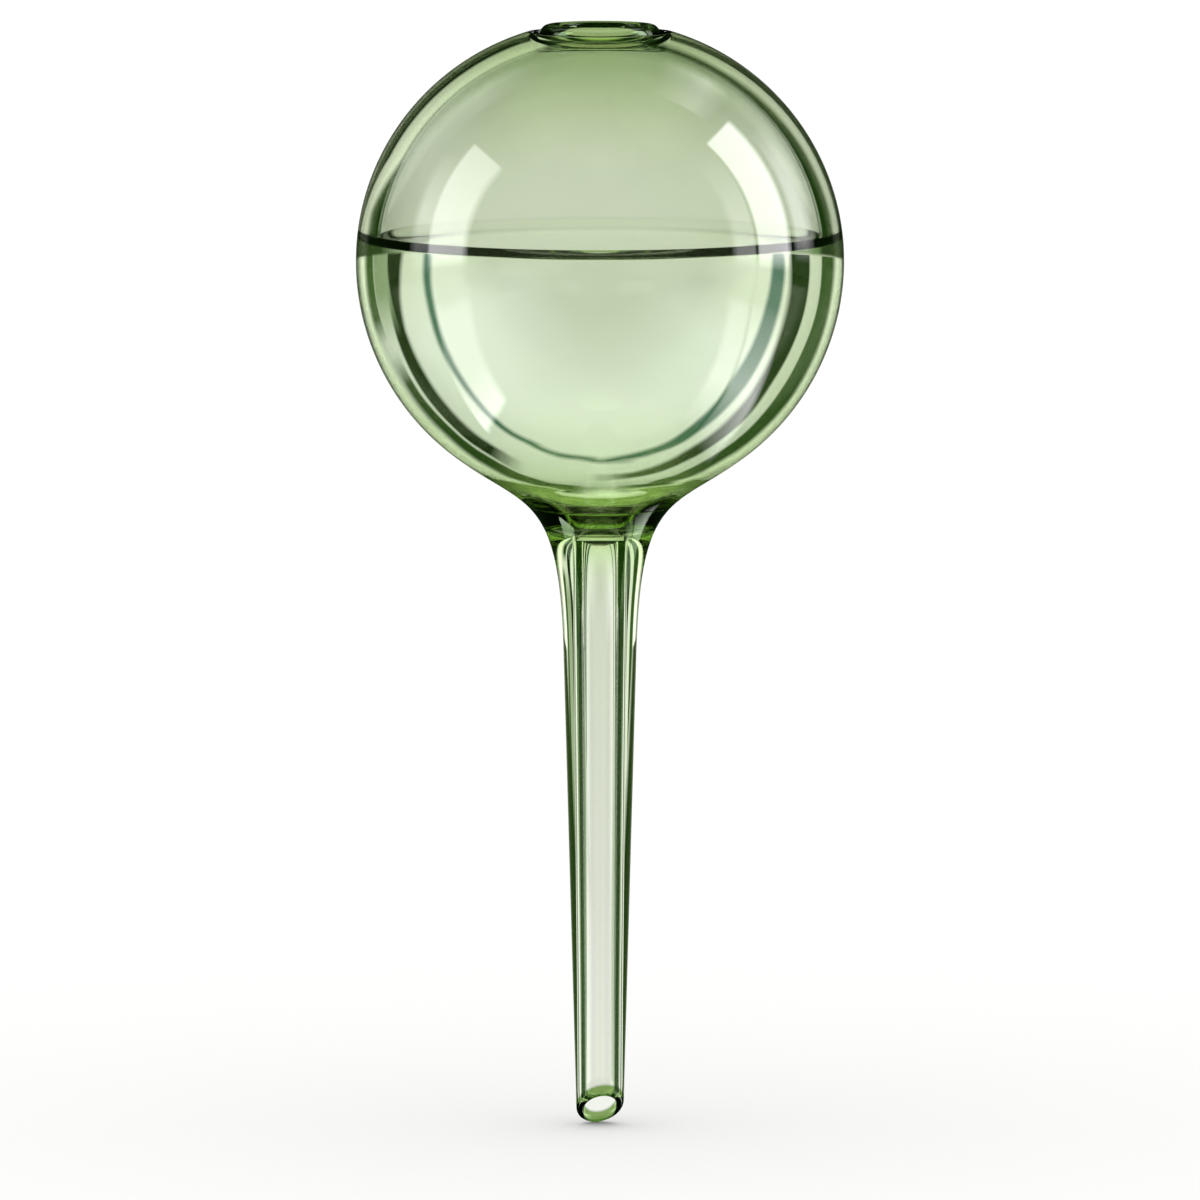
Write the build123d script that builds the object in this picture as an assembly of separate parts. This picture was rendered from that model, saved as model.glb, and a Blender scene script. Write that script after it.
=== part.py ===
"""Watering globe: a blown green glass bulb on a long hollow stem, half full of water.

The bulb is filled through a round mouth in its crown. Its underside flares into a tapered stem
with a bore down its middle, which is pushed into a plant pot's soil and lets the water out
through a slanted, fire-polished tip. The glass was joined hot from three pieces, which are kept
here as three solids that meet face to face: the bulb, the collar with the rolled lip that is set
into its crown, and the stem. The fourth solid is the water, in the lower half of the bulb and
down to the top of the stem's bore.

Lengths are millimetres and angles are degrees. Each outline is drawn about the middle of the bulb
and turned round the upright axis. The finished model is then raised, so that the lowest point of
the tip is at Z = 0. The slanted end of the stem faces -Y, the side that is seen as the front.
"""

import os
from math import acos, asin, cos, degrees, hypot, radians, sin, sqrt, tan

from build123d import *

# Bulb
bulb_radius = 50.0
crown_flattening = 0.8
side_wall = 4.0
crown_wall = 4.0
floor_wall = 8.0

# Mouth in the crown, the collar with its rolled lip, and the moat pressed round it
mouth_radius = 8.3
collar_wall = 2.0
collar_end_round = 0.6
lip_bead_radius = 2.0
lip_rise = 1.5
bead_seat_angle = 20.0
seat_drop = 1.2
moat_width = 2.3
moat_depth = 1.6
shoulder_round = 0.5

# Flare from the bulb's underside into the stem, set out from the lowest level of a whole bulb
flare_rise = 10.0
shank_drop = 30.0
shank_radius = 7.5
flare_top_pull_share = 0.46
flare_end_pull_share = 0.82

# Stem, its bore and its slanted tip
stem_length = 125.5
tip_bore_radius = 3.15
tip_wall = 1.7
parallel_bore = 24.0
tip_slant = 39.0
tip_turn = 12.0
tip_round_share = 0.44

# Throat between the bulb's cavity and the bore
inlet_radius = 12.0
throat_drop = 6.0
throat_radius = 3.75
throat_top_pull_share = 0.50
throat_end_pull_share = 0.55

# Seal between the bulb and the stem, a shallow cone
seal_drop = 6.0
seal_angle = 20.0

# Water
water_level = 3.4
meniscus_rise = 2.4
meniscus_width = 6.0
meniscus_pull_share = 0.67
hanging_drop = 0.9
drop_pull_share = 0.5

# How far a cutting shape runs past what it cuts
overrun = 5.0

crown_height = bulb_radius - crown_flattening
cavity_radius = bulb_radius - side_wall
cavity_crown = crown_height - crown_wall
cavity_floor = bulb_radius - floor_wall
collar_radius = mouth_radius + collar_wall
bead_ring_radius = mouth_radius + lip_bead_radius
shoulder_radius = bead_ring_radius + lip_bead_radius + moat_width
flare_level = flare_rise - bulb_radius
shank_level = -bulb_radius - shank_drop
throat_level = -bulb_radius - throat_drop
tip_level = -bulb_radius - stem_length
tip_radius = tip_bore_radius + tip_wall
taper = (shank_radius - tip_radius) / (shank_level - tip_level)


def ellipse_height(r, half_width, half_height):
    """Height of an upright ellipse's upper half at the distance r from the axis."""
    return half_height * sqrt(1 - (r / half_width) ** 2)


def ellipse_reach(z, half_width, half_height):
    """Distance from the axis of an upright ellipse at the height z."""
    return half_width * sqrt(1 - (z / half_height) ** 2)


def stem_radius(z):
    """Outer radius of the stem's straight taper, carried on past the tip."""
    return shank_radius + taper * (z - shank_level)


def turned(*outline):
    """The solid that a closed outline of curves makes when it turns round the upright axis."""
    return revolve(Plane.XZ * make_face(Curve() + list(outline)), Axis.Z)


shoulder_height = ellipse_height(shoulder_radius, bulb_radius, crown_height)
bead_height = shoulder_height + lip_rise - lip_bead_radius
bead_seat = (
    bead_ring_radius + lip_bead_radius * cos(radians(bead_seat_angle)),
    bead_height - lip_bead_radius * sin(radians(bead_seat_angle)),
)
collar_seat = (collar_radius, bead_seat[1] - seat_drop)
collar_end = ellipse_height(collar_radius, cavity_radius, cavity_crown)
above_crown = bulb_radius + overrun
below_tip = tip_level - tip_radius * tan(radians(tip_slant)) - overrun


def flare_curve():
    """The hollow curve from the bulb's underside, tangent to it, into the stem's taper."""
    start = (ellipse_reach(flare_level, bulb_radius, bulb_radius), flare_level)
    end = (shank_radius, shank_level)
    height = flare_level - shank_level
    top_pull = flare_top_pull_share * height / bulb_radius
    end_pull = flare_end_pull_share * height / hypot(taper, 1)
    return Bezier(
        start,
        (start[0] + start[1] * top_pull, start[1] - start[0] * top_pull),
        (end[0] + taper * end_pull, end[1] + end_pull),
        end,
    )


def throat_curve(start):
    """The funnel from the cavity's floor, tangent to it, down to the top of the bore."""
    end = (throat_radius, throat_level)
    slope = (start[0] / cavity_radius**2) / (-start[1] / cavity_floor**2)
    top_pull = throat_top_pull_share * (start[0] - end[0])
    end_pull = throat_end_pull_share * (start[1] - end[1])
    return Bezier(
        start,
        (start[0] - top_pull, start[1] - slope * top_pull),
        (end[0], end[1] + end_pull),
        end,
    )


def make_outside():
    """Bulb, flare and stem as one full solid, closed over the crown and square at the tip."""
    flare_angle = degrees(asin(-flare_level / bulb_radius))
    crown = EllipticalCenterArc((0, 0), bulb_radius, crown_height, 0, arc_size=90)
    belly = CenterArc((0, 0), bulb_radius, -flare_angle, flare_angle)
    flare = flare_curve()
    stem_end = (stem_radius(below_tip), below_tip)
    return turned(
        crown,
        belly,
        flare,
        Line(flare @ 1, stem_end),
        Line(stem_end, (0, below_tip)),
        Line((0, below_tip), crown @ 1),
    )


def make_inside():
    """The space inside the glass: cavity, throat and bore, with the mouth as wide as the collar."""
    bore_top = tip_level + parallel_bore
    bore_end = below_tip - overrun
    top_angle = degrees(acos(collar_radius / cavity_radius))
    floor_angle = degrees(acos(inlet_radius / cavity_radius))
    upper_cavity = EllipticalCenterArc((0, 0), cavity_radius, cavity_crown, 0, arc_size=top_angle)
    lower_cavity = EllipticalCenterArc(
        (0, 0), cavity_radius, cavity_floor, -floor_angle, arc_size=floor_angle
    )
    inlet = lower_cavity @ 0
    throat = throat_curve((inlet.X, inlet.Y))
    return turned(
        Line((0, above_crown), (collar_radius, above_crown)),
        Line((collar_radius, above_crown), upper_cavity @ 1),
        upper_cavity,
        lower_cavity,
        throat,
        Line(throat @ 1, (tip_bore_radius, bore_top)),
        Line((tip_bore_radius, bore_top), (tip_bore_radius, bore_end)),
        Line((tip_bore_radius, bore_end), (0, bore_end)),
        Line((0, bore_end), (0, above_crown)),
    )


def make_crown_cut():
    """What is hollowed out of the crown: the collar's seat, and the moat round the lip."""
    shoulder = (shoulder_radius, shoulder_height)
    moat_floor = ((shoulder_radius + bead_seat[0]) / 2, shoulder_height - moat_depth)
    return turned(
        Line((0, collar_seat[1]), collar_seat),
        Line(collar_seat, bead_seat),
        ThreePointArc(bead_seat, moat_floor, shoulder),
        Line(shoulder, (shoulder_radius, above_crown)),
        Line((shoulder_radius, above_crown), (0, above_crown)),
        Line((0, above_crown), (0, collar_seat[1])),
    )


def make_seal_zone():
    """All the room above the shallow cone where the stem's cupped top is sealed to the bulb."""
    foot = (0, -bulb_radius - seal_drop)
    reach = bulb_radius + overrun
    rim = (reach, foot[1] + reach * tan(radians(seal_angle)))
    return turned(
        Line(foot, rim),
        Line(rim, (reach, above_crown)),
        Line((reach, above_crown), (0, above_crown)),
        Line((0, above_crown), foot),
    )


def make_tip_cut():
    """The block below the slanted plane that ends the stem, high at the front and low behind."""
    side = 4 * tip_radius + 4 * overrun
    block = Box(side, side, side, align=(Align.CENTER, Align.CENTER, Align.MAX))
    return Pos(0, 0, tip_level) * Rot(0, 0, tip_turn) * Rot(-tip_slant, 0, 0) * block


def make_bulb(glass):
    """The blown bulb, with its crown hollowed for the collar and the shoulder's edge melted round."""
    bulb = (glass & make_seal_zone()) - make_crown_cut()
    shoulder = bulb.edges().filter_by(GeomType.CIRCLE).sort_by(Axis.Z)[-1]
    return fillet([shoulder], shoulder_round)


def make_collar():
    """The short tube that is set into the crown, with its upper end rolled into a round lip."""
    bead_side = (mouth_radius, bead_height)
    bead_top = (bead_ring_radius, bead_height + lip_bead_radius)
    bead_edge = (bead_ring_radius + lip_bead_radius, bead_height)
    collar = turned(
        Line((mouth_radius, collar_end), bead_side),
        RadiusArc(bead_side, bead_top, lip_bead_radius),
        RadiusArc(bead_top, bead_edge, lip_bead_radius),
        RadiusArc(bead_edge, bead_seat, lip_bead_radius),
        Line(bead_seat, collar_seat),
        Line(collar_seat, (collar_radius, collar_end)),
        Line((collar_radius, collar_end), (mouth_radius, collar_end)),
    )
    lowest_edges = collar.edges().filter_by(GeomType.CIRCLE).group_by(Axis.Z)[0]
    return fillet([lowest_edges.sort_by(SortBy.RADIUS)[0]], collar_end_round)


def make_stem(glass):
    """The tapered stem, with both rims of its slanted end melted almost full round."""
    stem = (glass - make_seal_zone()) - make_tip_cut()
    slanted_end = stem.faces().filter_by(GeomType.PLANE).sort_by(Axis.Z)[0]
    return fillet(slanted_end.edges(), tip_round_share * tip_wall)


def make_water(inside):
    """The water: what of the inside lies below its dished surface and above the hanging drop."""
    edge_height = water_level + meniscus_rise
    edge = (ellipse_reach(edge_height, cavity_radius, cavity_crown), edge_height)
    dish_start = (edge[0] - meniscus_width, water_level)
    dish_pull = (dish_start[0] + meniscus_pull_share * meniscus_width, water_level)
    drop_edge = (throat_radius, throat_level)
    drop_foot = (0, throat_level - hanging_drop)
    drop_pull = (drop_pull_share * throat_radius, throat_level - hanging_drop)
    zone = turned(
        Line((0, water_level), dish_start),
        Bezier(dish_start, dish_pull, edge),
        Line(edge, (bulb_radius, edge_height)),
        Line((bulb_radius, edge_height), (bulb_radius, throat_level)),
        Line((bulb_radius, throat_level), drop_edge),
        Bezier(drop_edge, drop_pull, drop_foot),
        Line(drop_foot, (0, water_level)),
    )
    return inside & zone


inside = make_inside()
glass = make_outside() - inside
stem = make_stem(glass)
parts = {
    "bulb": make_bulb(glass),
    "filler_collar": make_collar(),
    "stem": stem,
    "water": make_water(inside),
}
lift = -stem.bounding_box().min.Z

os.makedirs("parts", exist_ok=True)
for name, solid in parts.items():
    export_step(Pos(0, 0, lift) * solid, f"parts/{name}.step")
print("the middle of the bulb is at Z =", round(lift, 4))
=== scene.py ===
"""The look of the watering globe: blown green glass, half full of water, in a plain white studio.

The glass is made as the glassblower joins it: a bulb, a collar with a rolled lip in its crown, and
a long stem with a slanted, fire-polished tip. Each is drawn as an outline beside the upright axis
and spun round it. The water is a fourth piece. Joined pieces run a hair into each other, so that
light passes from one to the next as in solid glass, and the water runs a hair into the glass.

Outlines are lists of points: how far out from the axis, and how high above the bulb's middle, in
millimetres. The finished pieces are in metres, with the tip's lowest point on the floor.
"""

from math import acos, asin, atan2, cos, degrees, dist, hypot, pi, radians, sin, sqrt, tan

import bpy
from mathutils import Matrix, Vector


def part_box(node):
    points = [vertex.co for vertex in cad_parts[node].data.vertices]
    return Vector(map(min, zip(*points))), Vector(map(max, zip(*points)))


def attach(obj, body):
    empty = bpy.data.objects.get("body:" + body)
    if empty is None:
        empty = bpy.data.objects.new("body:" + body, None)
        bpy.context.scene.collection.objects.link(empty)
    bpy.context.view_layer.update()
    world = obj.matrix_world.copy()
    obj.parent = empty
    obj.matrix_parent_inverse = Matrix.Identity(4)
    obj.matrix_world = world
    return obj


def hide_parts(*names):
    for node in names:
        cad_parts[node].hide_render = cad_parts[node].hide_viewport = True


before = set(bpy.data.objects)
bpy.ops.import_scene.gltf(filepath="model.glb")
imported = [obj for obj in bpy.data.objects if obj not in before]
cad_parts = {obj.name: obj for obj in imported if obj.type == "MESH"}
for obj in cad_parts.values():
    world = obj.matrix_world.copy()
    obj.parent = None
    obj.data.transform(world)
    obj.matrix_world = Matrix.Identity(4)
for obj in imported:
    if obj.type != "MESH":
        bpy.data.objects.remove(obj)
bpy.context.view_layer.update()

MM = 0.001

# Sizes of the glass, as the CAD model has them
BULB_RADIUS = 50.0
CROWN_HEIGHT = 49.2
CAVITY_RADIUS = 46.0
CAVITY_CROWN = 45.2
CAVITY_FLOOR = 42.0
MOUTH_RADIUS = 8.3
COLLAR_RADIUS = 10.3
COLLAR_END_ROUND = 0.6
BEAD_RADIUS = 2.0
BEAD_SEAT_ANGLE = 20.0
SEAT_DROP = 1.2
LIP_RISE = 1.5
MOAT_WIDTH = 2.3
MOAT_DEPTH = 1.6
FLARE_LEVEL = -40.0
FLARE_TOP_PULL = 0.46
FLARE_END_PULL = 0.82
SHANK_LEVEL = -80.0
SHANK_RADIUS = 7.5
TIP_LEVEL = -175.5
TIP_RADIUS = 4.85
TIP_BORE = 3.15
PARALLEL_BORE = 24.0
TIP_SLANT = 39.0
TIP_TURN = 12.0
INLET_RADIUS = 12.0
THROAT_RADIUS = 3.75
THROAT_LEVEL = -56.0
THROAT_TOP_PULL = 0.50
THROAT_END_PULL = 0.55
SEAL_ANGLE = 20.0

# Roundings of the mesh: the moat's shoulder, the tip's rims, and how far the slant is raised so that
# the rounded tip stands on the floor
SHOULDER_ROUND = 0.45
TIP_ROUND = 1.11
TIP_TRIM = 0.24

# Sizes of the water
WATER_LEVEL = 3.4
MENISCUS_RISE = 2.4
MENISCUS_WIDTH = 6.0
HANGING_DROP = 0.9

# How far joined glass runs into its neighbour, along and beside the joint, how many degrees the
# lip's bead runs on into its seat, and how far the water runs into the glass
WELD = 0.08
INSET = 0.05
BEAD_WELD_ANGLE = 4
WETTING = 0.15

# Steps of a full turn round the axis, how near points are merged, and which corners stay sharp
TURN_STEPS = 192
MERGE_REACH = 0.002
SHARP_CORNER = 35

# At the tip: how far the stem runs on before it is cut, how far above the slant a ring of edges is
# cut first, how near the slant a point lies on it, how much a rim edge's two ends may differ in
# their distance from the axis, and the steps of the rims' rounding
TIP_OVERRUN = 3
RING_HEIGHT = 2.5
SLANT_REACH = 0.02
RIM_REACH = 0.5
RIM_STEPS = 8

SHOULDER_RADIUS = MOUTH_RADIUS + 2 * BEAD_RADIUS + MOAT_WIDTH
SHOULDER_HEIGHT = CROWN_HEIGHT * sqrt(1 - (SHOULDER_RADIUS / BULB_RADIUS) ** 2)
BEAD_RING = MOUTH_RADIUS + BEAD_RADIUS
BEAD_HEIGHT = SHOULDER_HEIGHT + LIP_RISE - BEAD_RADIUS
TAPER = (SHANK_RADIUS - TIP_RADIUS) / (SHANK_LEVEL - TIP_LEVEL)

# Height of the bulb's middle over the floor, reckoned down from the top of the CAD model's lip
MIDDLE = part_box("filler_collar")[1].z / MM - BEAD_HEIGHT - BEAD_RADIUS


# Outlines

def oval_arc(middle, half_width, half_height, start, end, count):
    """Points along an upright oval, from one angle to another in degrees."""
    angles = [radians(start + (end - start) * step / count) for step in range(count + 1)]
    return [(middle[0] + half_width * cos(a), middle[1] + half_height * sin(a)) for a in angles]


def hollow_arc(start, lowest, end, count):
    """Points along the circle through three points, from the first to the last."""
    (ax, ay), (bx, by), (cx, cy) = start, lowest, end
    scale = 2 * (ax * (by - cy) + bx * (cy - ay) + cx * (ay - by))
    squares = [x * x + y * y for x, y in (start, lowest, end)]
    middle = (
        (squares[0] * (by - cy) + squares[1] * (cy - ay) + squares[2] * (ay - by)) / scale,
        (squares[0] * (cx - bx) + squares[1] * (ax - cx) + squares[2] * (bx - ax)) / scale,
    )
    radius = dist(start, middle)
    angles = [degrees(atan2(y - middle[1], x - middle[0])) for x, y in (start, end)]
    return oval_arc(middle, radius, radius, angles[0], angles[1], count)


def pulled_curve(start, start_pull, end_pull, end, count):
    """Points along a curve that leaves and arrives towards its two pull points."""
    points = []
    for step in range(count + 1):
        t = step / count
        weights = ((1 - t) ** 3, 3 * (1 - t) ** 2 * t, 3 * (1 - t) * t * t, t**3)
        corners = (start, start_pull, end_pull, end)
        points.append(tuple(sum(w * p[axis] for w, p in zip(weights, corners)) for axis in (0, 1)))
    return points


def eased_corner(before, corner, after, size, count=5):
    """Points that round a corner, starting and ending at the given distance from it."""
    start = tuple(c + (b - c) * size / dist(before, corner) for b, c in zip(before, corner))
    end = tuple(c + (a - c) * size / dist(after, corner) for a, c in zip(after, corner))
    return pulled_curve(start, corner, corner, end, count)


def straight(start, end, count):
    """Points along a straight run, both ends among them."""
    return [tuple(s + (e - s) * step / count for s, e in zip(start, end)) for step in range(count + 1)]


def seal_height(reach):
    """Height of the shallow cone where the stem's cupped top is sealed to the bulb."""
    return THROAT_LEVEL + reach * tan(radians(SEAL_ANGLE))


def flare_line():
    """The whole hollow curve from the bulb's underside into the stem's taper."""
    start = (sqrt(BULB_RADIUS**2 - FLARE_LEVEL**2), FLARE_LEVEL)
    end = (SHANK_RADIUS, SHANK_LEVEL)
    height = FLARE_LEVEL - SHANK_LEVEL
    top_pull = FLARE_TOP_PULL * height / BULB_RADIUS
    end_pull = FLARE_END_PULL * height / hypot(TAPER, 1)
    return pulled_curve(
        start,
        (start[0] + start[1] * top_pull, start[1] - start[0] * top_pull),
        (end[0] + TAPER * end_pull, end[1] + end_pull),
        end,
        120,
    )


def throat_line():
    """The funnel from the cavity's floor down to the top of the bore."""
    floor = -CAVITY_FLOOR * sqrt(1 - (INLET_RADIUS / CAVITY_RADIUS) ** 2)
    slope = (INLET_RADIUS / CAVITY_RADIUS**2) / (-floor / CAVITY_FLOOR**2)
    top_pull = THROAT_TOP_PULL * (INLET_RADIUS - THROAT_RADIUS)
    end_pull = THROAT_END_PULL * (floor - THROAT_LEVEL)
    return pulled_curve(
        (INLET_RADIUS, floor),
        (INLET_RADIUS - top_pull, floor - slope * top_pull),
        (THROAT_RADIUS, THROAT_LEVEL + end_pull),
        (THROAT_RADIUS, THROAT_LEVEL),
        60,
    )


def split_at_seal(line):
    """A downward line in two, above and below the seal's cone, and the point where they part."""
    for place, (upper, lower) in enumerate(zip(line, line[1:])):
        over, under = upper[1] - seal_height(upper[0]), lower[1] - seal_height(lower[0])
        if over > 0 >= under:
            share = over / (over - under)
            meet = tuple(u + (w - u) * share for u, w in zip(upper, lower))
            return line[:place] + [meet], [meet] + line[place + 1 :], meet
    raise ValueError("the line doesn't cross the seal")


BEAD_SEAT = (
    BEAD_RING + BEAD_RADIUS * cos(radians(BEAD_SEAT_ANGLE)),
    BEAD_HEIGHT - BEAD_RADIUS * sin(radians(BEAD_SEAT_ANGLE)),
)
COLLAR_SEAT = (COLLAR_RADIUS, BEAD_SEAT[1] - SEAT_DROP)
COLLAR_END = CAVITY_CROWN * sqrt(1 - (COLLAR_RADIUS / CAVITY_RADIUS) ** 2)


def bulb_outline():
    """Round the bulb's wall: seat, moat, crown, belly, flare, seal, throat, cavity."""
    shoulder = (SHOULDER_RADIUS, SHOULDER_HEIGHT)
    moat_floor = ((SHOULDER_RADIUS + BEAD_SEAT[0]) / 2, SHOULDER_HEIGHT - MOAT_DEPTH)
    moat = hollow_arc(BEAD_SEAT, moat_floor, shoulder, 20)
    crown_start = degrees(acos(SHOULDER_RADIUS / BULB_RADIUS))
    crown = oval_arc((0, 0), BULB_RADIUS, CROWN_HEIGHT, crown_start, 0, 72)
    moat = [point for point in moat if dist(point, shoulder) > SHOULDER_ROUND]
    crown = [point for point in crown if dist(point, shoulder) > SHOULDER_ROUND]
    belly_end = degrees(asin(FLARE_LEVEL / BULB_RADIUS))
    belly = oval_arc((0, 0), BULB_RADIUS, BULB_RADIUS, 0, belly_end, 52)
    flare, _, flare_meet = split_at_seal(flare_line())
    throat, _, throat_meet = split_at_seal(throat_line())
    floor_angle = -degrees(acos(INLET_RADIUS / CAVITY_RADIUS))
    crown_angle = degrees(acos(COLLAR_RADIUS / CAVITY_RADIUS))
    cavity_floor = oval_arc((0, 0), CAVITY_RADIUS, CAVITY_FLOOR, floor_angle, 0, 75)
    cavity_crown = oval_arc((0, 0), CAVITY_RADIUS, CAVITY_CROWN, 0, crown_angle, 75)
    return (
        [cavity_crown[-1], COLLAR_SEAT]
        + moat
        + eased_corner(moat[-1], shoulder, crown[0], SHOULDER_ROUND)
        + crown
        + belly[1:]
        + flare[1:]
        + straight(flare_meet, throat_meet, 8)[1:-1]
        + throat[::-1]
        + cavity_floor[1:]
        + cavity_crown[1:]
    )


def collar_outline():
    """Round the collar's wall and its rolled lip, which sits a hair deep in the bulb's seat."""
    bead_end = -BEAD_SEAT_ANGLE - BEAD_WELD_ANGLE
    bead = oval_arc((BEAD_RING, BEAD_HEIGHT), BEAD_RADIUS, BEAD_RADIUS, 180, bead_end, 72)
    lowest = COLLAR_END - INSET
    outer_corner = (COLLAR_RADIUS + WELD, lowest)
    inner_corner = (MOUTH_RADIUS, lowest)
    easing = eased_corner(outer_corner, inner_corner, bead[0], COLLAR_END_ROUND, 8)
    return (
        straight(easing[-1], bead[0], 8)[:-1]
        + bead
        + [(COLLAR_RADIUS + WELD, COLLAR_SEAT[1] - WELD), outer_corner]
        + easing
    )


def stem_outline():
    """Along the stem's wall, from the bore's open lower end, over the cupped top, to the outside."""
    below = TIP_LEVEL - TIP_RADIUS * tan(radians(TIP_SLANT)) - TIP_OVERRUN
    _, bore_top, bore_meet = split_at_seal(throat_line())
    _, flare, flare_meet = split_at_seal(flare_line())
    bore_step = (TIP_BORE, TIP_LEVEL + PARALLEL_BORE)
    cup_inside = (bore_meet[0] + INSET, bore_meet[1] + WELD)
    cup_outside = (flare_meet[0] - INSET, flare_meet[1] + WELD)
    return (
        [(TIP_BORE, below)]
        + straight(bore_step, bore_top[-1], 6)
        + bore_top[-2::-1]
        + straight(cup_inside, cup_outside, 8)
        + flare
        + straight(flare[-1], (SHANK_RADIUS + TAPER * (below - SHANK_LEVEL), below), 3)[1:]
    )


def water_outline():
    """Round the water: dished surface, cavity and throat a hair into the glass, hanging drop."""
    edge_height = WATER_LEVEL + MENISCUS_RISE
    edge = (CAVITY_RADIUS * sqrt(1 - (edge_height / CAVITY_CROWN) ** 2), edge_height)
    dish_start = (edge[0] - MENISCUS_WIDTH, WATER_LEVEL)
    dish_pull = (edge[0] - MENISCUS_WIDTH / 3, WATER_LEVEL)
    dish = pulled_curve(dish_start, dish_pull, dish_pull, edge, 20)
    wet_width, wet_crown = CAVITY_RADIUS + WETTING, CAVITY_CROWN + WETTING
    wet_floor = CAVITY_FLOOR + WETTING
    edge_angle = degrees(asin(edge_height / wet_crown))
    floor_angle = -degrees(acos(INLET_RADIUS / wet_width))
    cavity = oval_arc((0, 0), wet_width, wet_crown, edge_angle, 0, 10)
    cavity += oval_arc((0, 0), wet_width, wet_floor, 0, floor_angle, 110)[1:]
    throat = throat_line()
    wet_throat = []
    for before, here, after in zip(throat, throat[1:], throat[2:]):
        along = dist(before, after)
        across = (-(after[1] - before[1]) / along, (after[0] - before[0]) / along)
        wet_throat.append((here[0] + across[0] * WETTING, here[1] + across[1] * WETTING))
    drop_edge = (THROAT_RADIUS, THROAT_LEVEL)
    drop_foot = (0, THROAT_LEVEL - HANGING_DROP)
    drop_pull = (THROAT_RADIUS / 2, drop_foot[1])
    drop = pulled_curve(drop_edge, drop_pull, drop_pull, drop_foot, 12)
    return (
        straight((0, WATER_LEVEL), dish_start, 16)
        + dish[1:]
        + cavity
        + wet_throat
        + [(THROAT_RADIUS + WETTING, THROAT_LEVEL)]
        + drop
    )


# Pieces

def make_active(piece):
    """Only this piece is selected, and it is the active one."""
    bpy.ops.object.select_all(action="DESELECT")
    piece.select_set(True)
    bpy.context.view_layer.objects.active = piece


def spun(name, outline):
    """A new piece: the outline drawn point by point, then spun once round the upright axis."""
    points = [Vector((reach, 0, MIDDLE + height)) * MM for reach, height in outline]
    bpy.ops.object.select_all(action="DESELECT")
    bpy.ops.mesh.primitive_plane_add(size=2 * MM, location=(0, 0, 0))
    piece = bpy.context.object
    piece.name = name
    piece.data.name = name
    bpy.ops.object.mode_set(mode="EDIT")
    bpy.ops.mesh.select_mode(type="VERT")
    bpy.ops.mesh.select_all(action="SELECT")
    bpy.ops.mesh.merge(type="CENTER")
    bpy.ops.transform.translate(value=points[0])
    for here, there in zip(points, points[1:]):
        bpy.ops.mesh.extrude_region_move(TRANSFORM_OT_translate={"value": there - here})
    bpy.ops.mesh.select_all(action="SELECT")
    bpy.ops.mesh.spin(steps=TURN_STEPS, angle=2 * pi, center=(0, 0, 0), axis=(0, 0, 1))
    bpy.ops.mesh.select_all(action="SELECT")
    bpy.ops.mesh.remove_doubles(threshold=MERGE_REACH * MM)
    bpy.ops.mesh.normals_make_consistent(inside=False)
    bpy.ops.object.mode_set(mode="OBJECT")
    return piece


def slant_plane():
    """Where the tip's slanted plane meets the axis, and the upward direction square to it."""
    foot = Vector((0, 0, MIDDLE + TIP_LEVEL + TIP_TRIM)) * MM
    turn = Matrix.Rotation(radians(TIP_TURN), 3, "Z")
    tilt = Matrix.Rotation(-radians(TIP_SLANT), 3, "X")
    return foot, turn @ tilt @ Vector((0, 0, 1))


def select_edges(piece, chosen):
    """In edit mode, only the edges whose two ends pass a test are selected."""
    bpy.ops.mesh.select_mode(type="EDGE")
    bpy.ops.mesh.select_all(action="DESELECT")
    bpy.ops.object.mode_set(mode="OBJECT")
    vertices = piece.data.vertices
    for edge in piece.data.edges:
        edge.select = chosen(*(vertices[end].co for end in edge.vertices))
    bpy.ops.object.mode_set(mode="EDIT")


def cut_tip(stem):
    """The stem's end cut on the slant, closed across its wall, with both rims melted round."""
    foot, normal = slant_plane()

    def on_slant(*ends):
        return all(abs((end - foot).dot(normal)) < SLANT_REACH * MM for end in ends)

    def along_rim(first, second):
        across = abs(hypot(first.x, first.y) - hypot(second.x, second.y))
        return on_slant(first, second) and across < RIM_REACH * MM

    make_active(stem)
    bpy.ops.object.mode_set(mode="EDIT")
    bpy.ops.mesh.select_all(action="SELECT")
    bpy.ops.mesh.bisect(plane_co=foot + normal * RING_HEIGHT * MM, plane_no=normal)
    bpy.ops.mesh.select_all(action="SELECT")
    bpy.ops.mesh.bisect(plane_co=foot, plane_no=normal, clear_inner=True)
    select_edges(stem, on_slant)
    bpy.ops.mesh.bridge_edge_loops()
    select_edges(stem, along_rim)
    bpy.ops.mesh.bevel(offset=TIP_ROUND * MM, offset_type="WIDTH", segments=RIM_STEPS, profile=0.5)
    bpy.ops.mesh.select_all(action="SELECT")
    bpy.ops.mesh.normals_make_consistent(inside=False)
    bpy.ops.object.mode_set(mode="OBJECT")
    return stem


def smoothed(piece):
    """Smooth shading, with only the true corners kept sharp."""
    make_active(piece)
    bpy.ops.object.shade_smooth_by_angle(angle=radians(SHARP_CORNER))
    return piece


def placed(piece, material, node):
    """The piece gets its glass or water, and takes the place of its CAD node."""
    piece.data.materials.append(material)
    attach(piece, "root")
    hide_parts(node)


def make_bulb():
    """The blown bulb."""
    bulb = smoothed(spun("glass_bulb", bulb_outline()))
    placed(bulb, bulb_glass(), "bulb")


def make_collar():
    """The collar set into the crown, with its rolled lip."""
    collar = smoothed(spun("glass_collar", collar_outline()))
    placed(collar, collar_glass(), "filler_collar")


def make_stem():
    """The drawn stem, with its slanted tip."""
    stem = smoothed(cut_tip(spun("glass_stem", stem_outline())))
    placed(stem, stem_glass(), "stem")


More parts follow.
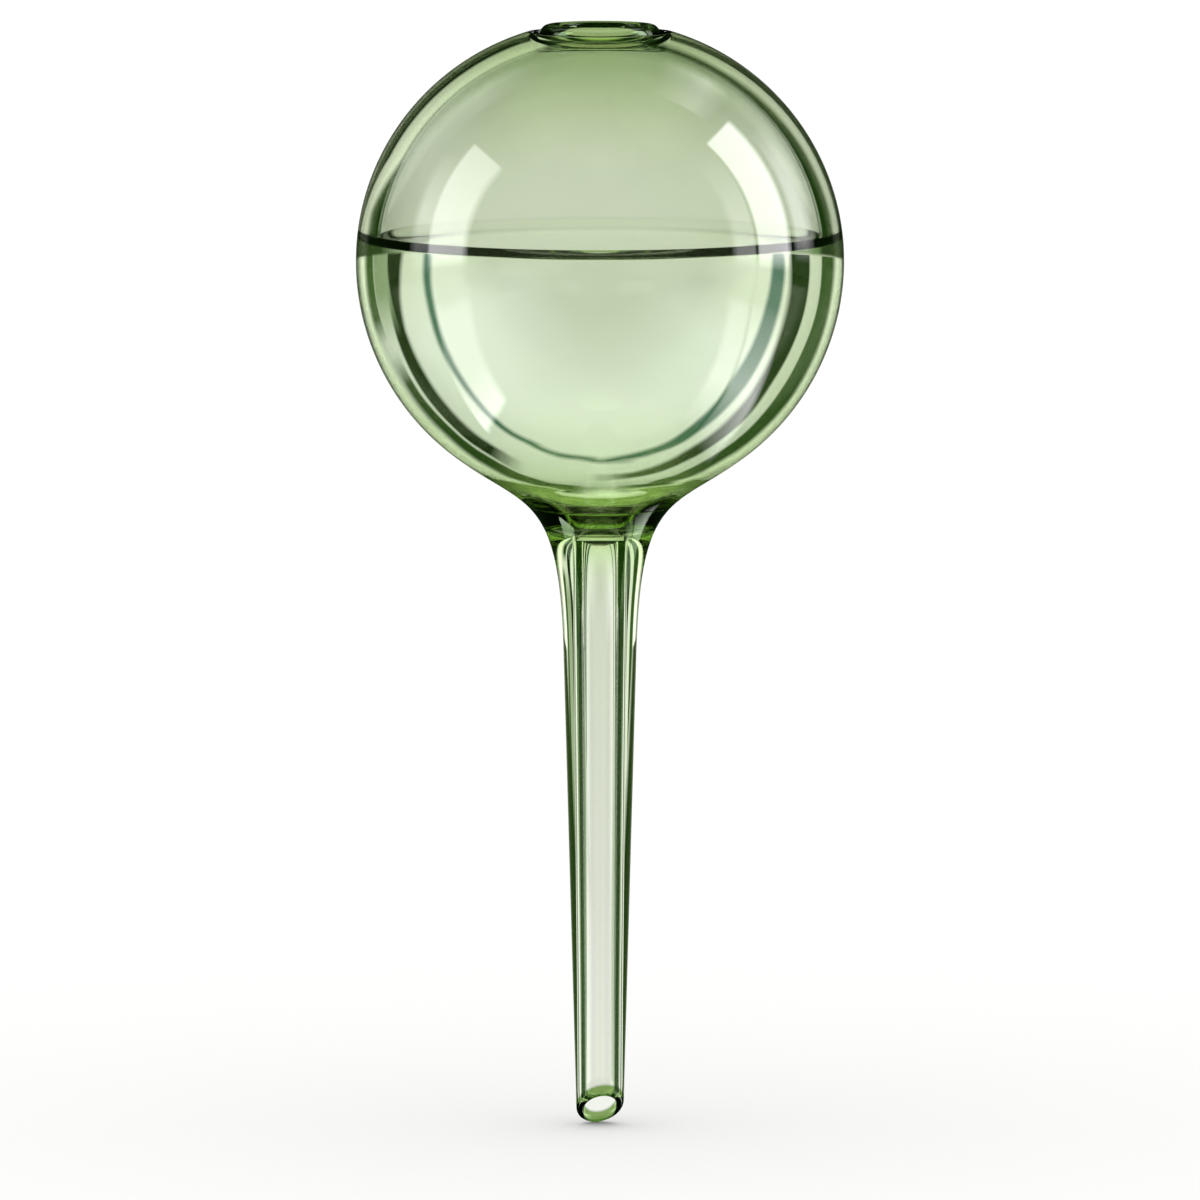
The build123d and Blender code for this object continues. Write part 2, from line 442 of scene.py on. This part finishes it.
def make_water():
    """The water in the lower half of the bulb, down to the top of the bore."""
    water = smoothed(spun("held_water", water_outline()))
    placed(water, clear_water(), "water")


# Nodes

def fill_socket(tree, socket, value):
    """A socket takes another node's output, a colour, or a number."""
    if isinstance(value, bpy.types.NodeSocket):
        tree.links.new(value, socket)
    elif socket.type == "RGBA":
        socket.default_value = (*value, 1)
    else:
        socket.default_value = value


def new_node(tree, kind, sockets=None, **settings):
    """A new node, with its settings and with what its sockets take."""
    node = tree.nodes.new(kind)
    for name, value in settings.items():
        setattr(node, name, value)
    for name, value in (sockets or {}).items():
        fill_socket(tree, node.inputs[name], value)
    return node


def reckon(tree, operation, *values, clamp=False):
    """One sum, from numbers or other sums."""
    sockets = dict(enumerate(values))
    return new_node(tree, "ShaderNodeMath", sockets, operation=operation, use_clamp=clamp).outputs[0]


def blended(tree, share, first, second):
    """Two colours, mixed by a share from 0 to 1."""
    sockets = {"Factor": share, "A": first, "B": second}
    return new_node(tree, "ShaderNodeMix", sockets, data_type="RGBA").outputs["Result"]


# Glass and water

GLASS_BEND = 1.5
WATER_BEND = 1.333

# The colour that light takes on its way through, and how fast, per metre
BULB_DEPTH = ((0.32, 0.5, 0.02), 62)
COLLAR_DEPTH = ((0.25, 0.62, 0.03), 80)
STEM_DEPTH = ((0.32, 0.52, 0.02), 52)
WATER_DEPTH = ((0.85, 0.95, 0.85), 2)

# Faint streaks in the surface: their two colours, and how many to a metre
GLASS_STREAKS = ((0.995, 1.0, 0.985), (0.965, 0.985, 0.94), 40)
WATER_STREAKS = ((1.0, 1.0, 1.0), (0.985, 0.995, 0.985), 30)

# Deeper green where the hot glass gathered, and painted shade towards the crown and the tip: the
# colour, and the heights it grows between
# Painted shade, deepening the bulb's green towards the crown
CROWN_PAINTED_SHADE = ((0.605, 0.69, 0.49), 14, 45)
FLARE_ROOT_GREEN = ((0.78, 0.88, 0.6), -42, -52)
LIP_GREEN = ((0.7, 0.8, 0.48), 34, 42)
FLARE_GREEN = ((0.66, 0.82, 0.42), -74, -50)
# Painted shade, deepening the stem's green towards the tip
TIP_PAINTED_SHADE = ((0.94, 0.975, 0.9), -145, -178)
# Painted shade on the tip's melted rim
RIM_PAINTED_SHADE = (0.08, 0.19, 0.02)

# The colour of what the collar and the stem mirror
GREEN_SHINE = (0.6, 0.95, 0.45)

# Patches that are a breath less smooth: how many to a metre, how broken up, and the roughest
GLASS_POLISH = (60, 2, 0.005)
WATER_POLISH = (30, 1, 0.004)

# Slow waves in the surface: their height in millimetres, and how many to a metre
BULB_WAVES = (0.02, 28)
COLLAR_WAVES = (0.02, 60)
STEM_WAVES = (0.015, 40)
WATER_WAVES = (0.01, 25)

# Swirls low in the bulb: how many to a metre, how flat, how many times the slow waves' height, and
# the heights between which they grow
LOW_SWIRLS = (75, (1, 1, 2), 2, -14, -40)

# Patterns are even, or drawn out along the stem, and use the middle span of the clouds' values
EVEN = (1, 1, 1)
DRAWN_OUT = (1, 1, 0.15)
CLOUD_SPAN = (0.3, 0.7)

# The band of painted shade on the melted rim: how far above the slant it reaches, and where it starts
# to fade
RIM_SHADE_BAND = 1.5
RIM_SHADE_FADE = 0.7


def patches(tree, scale, detail, low, high, stretch=EVEN):
    """Soft cloudy patches over the piece, as a value that runs between the two given."""
    place = new_node(tree, "ShaderNodeTexCoord").outputs["Object"]
    mapping = new_node(tree, "ShaderNodeMapping", {"Vector": place, "Scale": stretch})
    sockets = {"Vector": mapping.outputs["Vector"], "Scale": scale, "Detail": detail}
    clouds = new_node(tree, "ShaderNodeTexNoise", sockets)
    sockets = {"Value": clouds.outputs["Fac"], "To Min": low, "To Max": high}
    sockets["From Min"], sockets["From Max"] = CLOUD_SPAN
    return new_node(tree, "ShaderNodeMapRange", sockets).outputs["Result"]


def streaked(tree, streaks, stretch=EVEN):
    """Faint streaks of deeper colour in the surface."""
    pale, deep, scale = streaks
    return blended(tree, patches(tree, scale, 2, 0, 1, stretch), pale, deep)


def share_from(tree, value, start, end):
    """A share that goes from 0 to 1 while the value goes from start to end, in metres."""
    sockets = {"Value": value, "From Min": start, "From Max": end}
    return new_node(tree, "ShaderNodeMapRange", sockets).outputs["Result"]


def height_share(tree, start, end):
    """A share that goes from 0 to 1 from one height to another."""
    place = new_node(tree, "ShaderNodeTexCoord").outputs["Object"]
    split = new_node(tree, "ShaderNodeSeparateXYZ", {0: place})
    return share_from(tree, split.outputs[2], (MIDDLE + start) * MM, (MIDDLE + end) * MM)


def deepened(tree, colour, deep, start, end):
    """The colour deepens from one height to another: where the glass gathered, or as painted shade."""
    return blended(tree, reckon(tree, "POWER", height_share(tree, start, end), 2), colour, deep)


def painted_rim_shade(tree, colour, deep):
    """Painted shade: the colour darkens along the melted rim of the slanted tip."""
    foot, normal = slant_plane()
    place = new_node(tree, "ShaderNodeTexCoord").outputs["Object"]
    above = new_node(tree, "ShaderNodeVectorMath", {0: place, 1: normal}, operation="DOT_PRODUCT")
    plane = foot.dot(normal)
    top, fade = plane + RIM_SHADE_BAND * MM, plane + RIM_SHADE_BAND * MM * RIM_SHADE_FADE
    return blended(tree, share_from(tree, above.outputs["Value"], top, fade), colour, deep)


def wave_surface(tree, shader, waves, stretch=EVEN, swirls=None):
    """The slow waves that hot glass keeps after it is blown, with swirls where it gathered."""
    height, scale = waves
    relief = patches(tree, scale, 1, 0, 1, stretch)
    if swirls:
        swirl_scale, swirl_stretch, times, start, end = swirls
        swirl = patches(tree, swirl_scale, 1, 0, times, swirl_stretch)
        relief = reckon(tree, "MULTIPLY_ADD", swirl, height_share(tree, start, end), relief)
    sockets = {"Strength": 1, "Distance": height * MM, "Height": relief}
    bump = new_node(tree, "ShaderNodeBump", sockets)
    fill_socket(tree, shader.inputs["Normal"], bump.outputs["Normal"])


def clear_material(name, bend, depth, polish):
    """A new clear material that deepens with its thickness, with its nodes and main shader."""
    material = bpy.data.materials.new(name)
    material.use_nodes = True
    tree = material.node_tree
    shader = tree.nodes["Principled BSDF"]
    shader.inputs["Transmission Weight"].default_value = 1
    shader.inputs["IOR"].default_value = bend
    scale, detail, roughest = polish
    fill_socket(tree, shader.inputs["Roughness"], patches(tree, scale, detail, 0, roughest))
    colour, density = depth
    absorbing = new_node(tree, "ShaderNodeVolumeAbsorption", {"Color": colour, "Density": density})
    fill_socket(tree, tree.nodes["Material Output"].inputs["Volume"], absorbing.outputs["Volume"])
    return material, tree, shader


def green_glass(name, depth):
    """Clear green glass, with its nodes and main shader."""
    return clear_material(name, GLASS_BEND, depth, GLASS_POLISH)


def bulb_glass():
    """The bulb's glass, darkened towards the crown by painted shade, and deeper round the root of the
    flare.
    """
    material, tree, shader = green_glass("bulb_glass", BULB_DEPTH)
    wave_surface(tree, shader, BULB_WAVES, EVEN, LOW_SWIRLS)
    # Painted shade deepens the green towards the crown
    colour = deepened(tree, streaked(tree, GLASS_STREAKS), *CROWN_PAINTED_SHADE)
    colour = deepened(tree, colour, *FLARE_ROOT_GREEN)
    fill_socket(tree, shader.inputs["Base Color"], colour)
    return material


def collar_glass():
    """The collar's glass, deeper all over."""
    material, tree, shader = green_glass("collar_glass", COLLAR_DEPTH)
    shader.inputs["Specular Tint"].default_value = (*GREEN_SHINE, 1)
    wave_surface(tree, shader, COLLAR_WAVES)
    colour = deepened(tree, streaked(tree, GLASS_STREAKS), *LIP_GREEN)
    fill_socket(tree, shader.inputs["Base Color"], colour)
    return material


def stem_glass():
    """The stem's glass, deeper in the flare, and darkened by painted shade towards the tip and along
    its melted rim.
    """
    material, tree, shader = green_glass("stem_glass", STEM_DEPTH)
    shader.inputs["Specular Tint"].default_value = (*GREEN_SHINE, 1)
    wave_surface(tree, shader, STEM_WAVES, DRAWN_OUT)
    colour = deepened(tree, streaked(tree, GLASS_STREAKS, DRAWN_OUT), *FLARE_GREEN)
    # Painted shade deepens the green towards the tip
    colour = deepened(tree, colour, *TIP_PAINTED_SHADE)
    # Painted shade darkens the melted rim
    colour = painted_rim_shade(tree, colour, RIM_PAINTED_SHADE)
    fill_socket(tree, shader.inputs["Base Color"], colour)
    return material


def clear_water():
    """Still water with a breath of green, and hardly a ripple."""
    material, tree, shader = clear_material("still_water", WATER_BEND, WATER_DEPTH, WATER_POLISH)
    wave_surface(tree, shader, WATER_WAVES)
    fill_socket(tree, shader.inputs["Base Color"], streaked(tree, WATER_STREAKS))
    return material


# Studio

# The camera looks down by this angle, and the surround is hung square to its view
TILT = radians(6.0)
CAMERA_DISTANCE = 3.0
CAMERA_AIM = 0.1087
VIEW_WIDTH = 0.2464
SENSOR_WIDTH = 36

WHITE = (1.0, 1.0, 1.0)
FLOOR_WIDTH = 60
FLOOR_COLOUR = (0.94, 0.94, 0.93)
FLOOR_FILL = (1.09, 1.09, 1.09)
FLOOR_SEEN_THROUGH_GLASS = (0.03, 0.04, 0.03)

# Round the way straight behind the globe hang white cards and dark flags, each a ring or a piece of
# one. An edge is how many degrees out it lies, as pairs of turn and degrees: a turn of 0 is right,
# 90 up and 180 left. A card is its inner edge, its outer edge, how soft both are, the turns it
# fills with their softness, and its brightness. A later card hangs in front of an earlier one.
ALL_ROUND = (-30, 210, 10)
BACKDROP = (0.94, 0.94, 0.94)
SEA_GREEN = (0.08, 0.22, 0.18)
COOL_WHITE = (1.42, 1.38, 1.58)
CARDS = {
    "reflector": (((0, 16),), ((0, 68),), (7, 8), ALL_ROUND, 1.25),
    "upper reflector": (((0, 13),), ((0, 66),), (13, 2), (15, 155, 20), COOL_WHITE),
    "far light": (
        ((0, 53), (40, 51), (90, 44), (180, 54)),
        ((0, 61), (90, 66)),
        (5, 5),
        ALL_ROUND,
        2.5,
    ),
    "left flag": (
        ((60, 35), (100, 34), (180, 29)),
        ((90, 37), (180, 36)),
        (1.5, 1),
        (92, 210, 14),
        0.03,
    ),
    "sea-green strip": (
        ((0, 23.7), (90, 29.5), (140, 25), (180, 24)),
        ((0, 25.6), (90, 30.4), (140, 29), (180, 27.5)),
        (1, 1),
        ALL_ROUND,
        SEA_GREEN,
    ),
    "right flag": (
        ((0, 31), (20, 35), (60, 35)),
        ((0, 37), (20, 39.5), (30, 40)),
        (1.5, 1),
        (-30, 64, 10),
        0.015,
    ),
    "right strip": (((0, 37),), ((0, 44.5),), (1, 1), (-30, 15, 12), 0.65),
    "left strip": (((180, 36),), ((180, 41.5),), (1, 1), (140, 210, 12), 1.3),
    "outer right flag": (((0, 45),), ((0, 52),), (1, 4), (-30, 18, 6), 0.16),
    "outer upper flag": (((28, 42), (66, 41)), ((28, 48),), (1, 4), (28, 86, 8), 0.1),
    "outer left flag": (
        ((100, 41), (180, 42)),
        ((100, 46), (146, 52)),
        (1, 4),
        (96, 210, 8),
        0.13,
    ),
}

# Just under the horizon, where the stem looks, hangs a flag to each side. Each stop is how far out
# it starts, how softly, and its brightness. Below them lies the pale table.
LOW_MIDDLE = (1.03, 1.03, 1.03)
LOW_RIGHT = ((20, 10, 0.7), (35, 10, 0.04), (78, 20, 1.0))
LOW_LEFT = ((12, 6, 1.28), (28, 4, 0.4), (41, 3, 0.03), (78, 20, 1.0))
LOW_TOP = (0.0, -0.008)
LOW_FOOT = (-0.09, -0.14)
PALE_TABLE = (0.92, 0.92, 0.92)

# For light that was turned inside a wall, the white backdrop ends at a flag, then comes a card, and
# then dark. Each stop is its edge, how soft it is, and its brightness.
FLAG_START = ((15, -4), (60, 6), (96, 30), (108, 12), (150, 10), (165, 5))
CARD_START = ((15, 11), (60, 21), (96, 31), (108, 26), (150, 24), (165, 10))
CARD_END = ((15, 24), (60, 34), (96, 34), (108, 45), (150, 44), (165, 26))
TURNED_STOPS = ((FLAG_START, 3, 0.02), (CARD_START, 4, 1.4), (CARD_END, 8, 0.06))

# What turned light finds below the horizon, in front and overhead
TURNED_BELOW = (-0.03, -0.08)
TURNED_TABLE = (1.05, 1.05, 1.05)
TABLE_FLAG = (36, 56, 14, 8)
TABLE_FLAG_LEVEL = 0.1
IN_FRONT = (0.4, 0.5, 0.3)
OVERHEAD_START = (0.8, 0.93)
OVERHEAD = (1.5, 1.7, 1.0)

# Turned light that leaves the stem, level and to a side, finds the low flags
STEM_LEVELS = (-0.13, 0.0, 0.02, 0.01)
STEM_SIDE = (0.15, 0.1)

# Glass blown by mouth makes the cards' edges waver: over how many degrees, and how finely
WAVER = 3
WAVER_SCALE = 3.5

# How softly left passes into right under the horizon, behind into in front, and left into right in
# the mirrored lights; and what a count of turns or matt bounces passes at its first
SIDE_EASE = 0.001
FRONT_EASE = 0.1
MIRROR_EASE = 0.01
AT_ALL = 0.5

# The soft lights left and right of the globe, as its outer face mirrors them: inner and outer reach
# from the globe's middle, how soft both are, and the brightness along the turn
LEFT_PANELS = (
    (
        (0.55, 0.70, 0.03, 0.012),
        (
            (-57, 0), (-55, 0.6), (-42, 0.25), (-19, 0.22), (-15, 0.08),
            (-3, 0.08), (3, 0.85), (43.5, 0.5), (44.5, 0),
        ),
    ),
    ((0.70, 0.765, 0.01, 0.03), ((-5, 0), (15, 0.36), (38, 0))),
    ((0.79, 0.86, 0.03, 0.03), ((30, 0), (55, 0.1), (74, 0))),
)
RIGHT_PANELS = (
    (
        (0.648, 0.775, 0.012, 0.02),
        (
            (-62, 0), (-42, 0.5), (-19, 0.2), (-15, 0.06),
            (-3, 0.06), (3, 0.9), (48, 0.9), (49, 0),
        ),
    ),
    (
        (0.55, 0.635, 0.03, 0.01),
        ((-62, 0), (-45, 0.3), (-19, 0.22), (-15, 0.04), (-3, 0.04), (3, 0.38), (46, 0)),
    ),
    ((0.80, 0.86, 0.02, 0.04), ((0, 0), (8, 0.35), (30, 0.25), (42, 0))),
    ((0.72, 0.87, 0.01, 0.03), ((53, 0), (60, 0.2), (74, 0))),
)
PANEL_LIGHT = (11.0, 11.0, 11.0)
BETWEEN_PANELS = (0.01, 0.022, 0.006)

# The panels' lower ends sag inwards: how far, between which turns, and how suddenly
PANEL_SAG = 0.16
SAG_TURNS = (-15, -60)
SAG_POWER = 1.3


def tinted(level):
    """A card's colour: white or brighter as it is, and greener the darker it is."""
    if isinstance(level, tuple):
        return level
    return (level, level, level) if level >= 1 else (level**1.4, level, level**1.7)


def rising(tree, value, low, high):
    """A share that goes from 0 to 1 while the value goes from the first number to the second."""
    return reckon(tree, "MULTIPLY_ADD", value, 1 / (high - low), -low / (high - low), clamp=True)


def edge_at(tree, turn, keys):
    """Where a card's edge lies at a turn, from the pairs of turn and degrees."""
    edge = keys[0][1]
    for (from_turn, from_edge), (to_turn, to_edge) in zip(keys, keys[1:]):
        share = rising(tree, turn, from_turn, to_turn)
        edge = reckon(tree, "MULTIPLY_ADD", share, to_edge - from_edge, edge)
    return edge


def past(tree, value, edge, ease):
    """A share that goes from 0 to 1 where the value passes an edge, over the given ease."""
    over = reckon(tree, "SUBTRACT", value, edge)
    return reckon(tree, "MULTIPLY_ADD", over, 1 / ease, 0.5, clamp=True)


def between(tree, value, low, high, low_ease, high_ease):
    """A share that is 1 between two edges and eases to 0 beside each of them."""
    over = past(tree, value, low, low_ease)
    under = reckon(tree, "SUBTRACT", 1, past(tree, value, high, high_ease))
    return reckon(tree, "MULTIPLY", over, under)


def in_degrees(tree, angle):
    """An angle in degrees."""
    return reckon(tree, "MULTIPLY", angle, 180 / pi)


def ray_direction(tree):
    """Which way a ray leaves the scene."""
    return new_node(tree, "ShaderNodeTexCoord").outputs["Generated"]


def way_out(tree):
    """Where a ray leaves to: degrees from straight behind, side, height, turn, and how far behind."""
    x, y, z = new_node(tree, "ShaderNodeSeparateXYZ", {0: ray_direction(tree)}).outputs
    ahead = reckon(tree, "ABSOLUTE", y)
    behind = reckon(tree, "MULTIPLY_ADD", ahead, cos(TILT), reckon(tree, "MULTIPLY", z, -sin(TILT)))
    height = reckon(tree, "MULTIPLY_ADD", ahead, sin(TILT), reckon(tree, "MULTIPLY", z, cos(TILT)))
    side = reckon(tree, "MULTIPLY", x, reckon(tree, "SIGN", y))
    angle = in_degrees(tree, reckon(tree, "ARCCOSINE", reckon(tree, "MINIMUM", behind, 1)))
    turn = in_degrees(tree, reckon(tree, "ARCTAN2", height, side))
    return angle, side, height, turn, y


def wavering(tree, angle):
    """The angle with a slow waver, as cards look through glass that was blown by mouth."""
    sockets = {"Vector": ray_direction(tree), "Scale": WAVER_SCALE, "Detail": 1}
    clouds = new_node(tree, "ShaderNodeTexNoise", sockets).outputs["Fac"]
    return reckon(tree, "ADD", angle, reckon(tree, "MULTIPLY_ADD", clouds, WAVER, -WAVER / 2))


def seen_through(tree, angle, side, height, turn):
    """The cards round the glass, as light that went straight through shows them."""
    cards = BACKDROP
    for inner, outer, eases, (first, last, turn_ease), level in CARDS.values():
        across = between(tree, angle, edge_at(tree, turn, inner), edge_at(tree, turn, outer), *eases)
        along = between(tree, turn, first, last, turn_ease, turn_ease)
        cards = blended(tree, reckon(tree, "MULTIPLY", across, along), cards, tinted(level))
    cards = blended(tree, rising(tree, height, *LOW_TOP), cards, low_flags(tree, angle, side))
    return blended(tree, rising(tree, height, *LOW_FOOT), cards, PALE_TABLE)


def low_flags(tree, angle, side):
    """The flags left and right just under the horizon."""
    rows = []
    for stops in (LOW_LEFT, LOW_RIGHT):
        cards = LOW_MIDDLE
        for edge, ease, level in stops:
            cards = blended(tree, past(tree, angle, edge, ease), cards, tinted(level))
        rows.append(cards)
    return blended(tree, rising(tree, side, -SIDE_EASE, SIDE_EASE), *rows)


def seen_in_edges(tree, angle, side, height, turn, depth):
    """The cards round the glass, as light that was turned inside a wall shows them."""
    cards = WHITE
    for keys, ease, level in TURNED_STOPS:
        cards = blended(tree, past(tree, angle, edge_at(tree, turn, keys), ease), cards, tinted(level))
    flagged = between(tree, angle, *TABLE_FLAG)
    below = blended(tree, flagged, TURNED_TABLE, tinted(TABLE_FLAG_LEVEL))
    cards = blended(tree, rising(tree, height, *TURNED_BELOW), cards, below)
    cards = blended(tree, rising(tree, depth, FRONT_EASE, -FRONT_EASE), cards, IN_FRONT)
    cards = blended(tree, rising(tree, height, *OVERHEAD_START), cards, OVERHEAD)
    level = between(tree, height, *STEM_LEVELS)
    to_a_side = past(tree, reckon(tree, "ABSOLUTE", side), *STEM_SIDE)
    from_stem = reckon(tree, "MULTIPLY", level, to_a_side)
    return blended(tree, from_stem, cards, low_flags(tree, angle, side))


def lit_panels(tree, reach, turn, panels):
    """The brightness of the soft lights on one side."""
    total = 0
    for across, stops in panels:
        panel = reckon(tree, "MULTIPLY", between(tree, reach, *across), edge_at(tree, turn, stops))
        total = reckon(tree, "ADD", total, panel)
    return total


def mirrored(tree):
    """The soft lights left and right of the globe, as its outer face mirrors them."""
    to_camera = (0, -cos(TILT), sin(TILT))
    sockets = {0: ray_direction(tree), 1: to_camera}
    half = new_node(tree, "ShaderNodeVectorMath", sockets, operation="ADD")
    unit = new_node(tree, "ShaderNodeVectorMath", {0: half.outputs["Vector"]}, operation="NORMALIZE")
    x, y, z = new_node(tree, "ShaderNodeSeparateXYZ", {0: unit.outputs["Vector"]}).outputs
    height = reckon(tree, "MULTIPLY_ADD", y, sin(TILT), reckon(tree, "MULTIPLY", z, cos(TILT)))
    square = reckon(tree, "MULTIPLY_ADD", x, x, reckon(tree, "MULTIPLY", height, height))
    turn = in_degrees(tree, reckon(tree, "ARCTAN2", height, reckon(tree, "ABSOLUTE", x)))
    sag = reckon(tree, "POWER", rising(tree, turn, *SAG_TURNS), SAG_POWER)
    reach = reckon(tree, "MULTIPLY_ADD", sag, -PANEL_SAG, reckon(tree, "SQRT", square))
    left, right = (lit_panels(tree, reach, turn, side) for side in (LEFT_PANELS, RIGHT_PANELS))
    is_right = rising(tree, x, -MIRROR_EASE, MIRROR_EASE)
    shine = reckon(tree, "MULTIPLY", right, is_right)
    shine = reckon(tree, "MULTIPLY_ADD", left, reckon(tree, "SUBTRACT", 1, is_right), shine)
    return blended(tree, shine, BETWEEN_PANELS, PANEL_LIGHT)


def background(tree, colour):
    """Light from all round, in one colour or in a pattern."""
    return new_node(tree, "ShaderNodeBackground", {"Color": colour}).outputs["Background"]


def chosen_light(tree, share, first, second):
    """One of two kinds of light from all round, by a share of 0 or 1."""
    return new_node(tree, "ShaderNodeMixShader", {"Fac": share, 1: first, 2: second}).outputs["Shader"]


def hang_surround():
    """White for the eye and the floor; cards for the glass, and dark with soft lights for its shine."""
    world = bpy.data.worlds.new("white_studio")
    bpy.context.scene.world = world
    world.use_nodes = True
    tree = world.node_tree
    tree.nodes.clear()
    angle, side, height, turn, depth = way_out(tree)
    angle = wavering(tree, angle)
    path = new_node(tree, "ShaderNodeLightPath").outputs
    through = background(tree, seen_through(tree, angle, side, height, turn))
    turned = background(tree, seen_in_edges(tree, angle, side, height, turn, depth))
    was_turned = reckon(tree, "GREATER_THAN", path["Glossy Depth"], AT_ALL)
    inside = chosen_light(tree, was_turned, through, turned)
    was_matt = reckon(tree, "GREATER_THAN", path["Diffuse Depth"], AT_ALL)
    inside = chosen_light(tree, was_matt, inside, background(tree, FLOOR_SEEN_THROUGH_GLASS))
    shine = background(tree, mirrored(tree))
    glass = chosen_light(tree, path["Is Transmission Ray"], shine, inside)
    fill, white = (background(tree, colour) for colour in (FLOOR_FILL, WHITE))
    plain = chosen_light(tree, path["Is Camera Ray"], fill, white)
    bright = reckon(tree, "MAXIMUM", path["Is Glossy Ray"], path["Is Transmission Ray"])
    new_node(tree, "ShaderNodeOutputWorld", {"Surface": chosen_light(tree, bright, plain, glass)})


def lay_floor():
    """A wide pale floor that is white to the camera and keeps the soft shadow under the tip."""
    bpy.ops.object.select_all(action="DESELECT")
    bpy.ops.mesh.primitive_plane_add(size=FLOOR_WIDTH, location=(0, 0, 0))
    floor = bpy.context.object
    floor.name = "studio_floor"
    material = bpy.data.materials.new("pale_floor")
    material.use_nodes = True
    tree = material.node_tree
    tree.nodes.remove(tree.nodes["Principled BSDF"])
    matt = new_node(tree, "ShaderNodeBsdfDiffuse", {"Color": FLOOR_COLOUR})
    fill_socket(tree, tree.nodes["Material Output"].inputs["Surface"], matt.outputs["BSDF"])
    floor.data.materials.append(material)
    floor.visible_glossy = False
    floor.visible_transmission = False


def set_camera():
    """A long lens straight in front, a little above the middle of the globe's height."""
    back = Vector((0, -cos(TILT), sin(TILT)))
    place = Vector((0, 0, CAMERA_AIM)) + back * CAMERA_DISTANCE
    bpy.ops.object.camera_add(location=place, rotation=(-back).to_track_quat("-Z", "Y").to_euler())
    camera = bpy.context.object
    camera.name = "front_camera"
    camera.data.sensor_width = SENSOR_WIDTH
    camera.data.lens = SENSOR_WIDTH * CAMERA_DISTANCE / VIEW_WIDTH
    bpy.context.scene.camera = camera


make_bulb()
make_collar()
make_stem()
make_water()
lay_floor()
hang_surround()
set_camera()
bpy.context.scene.view_settings.view_transform = "Standard"
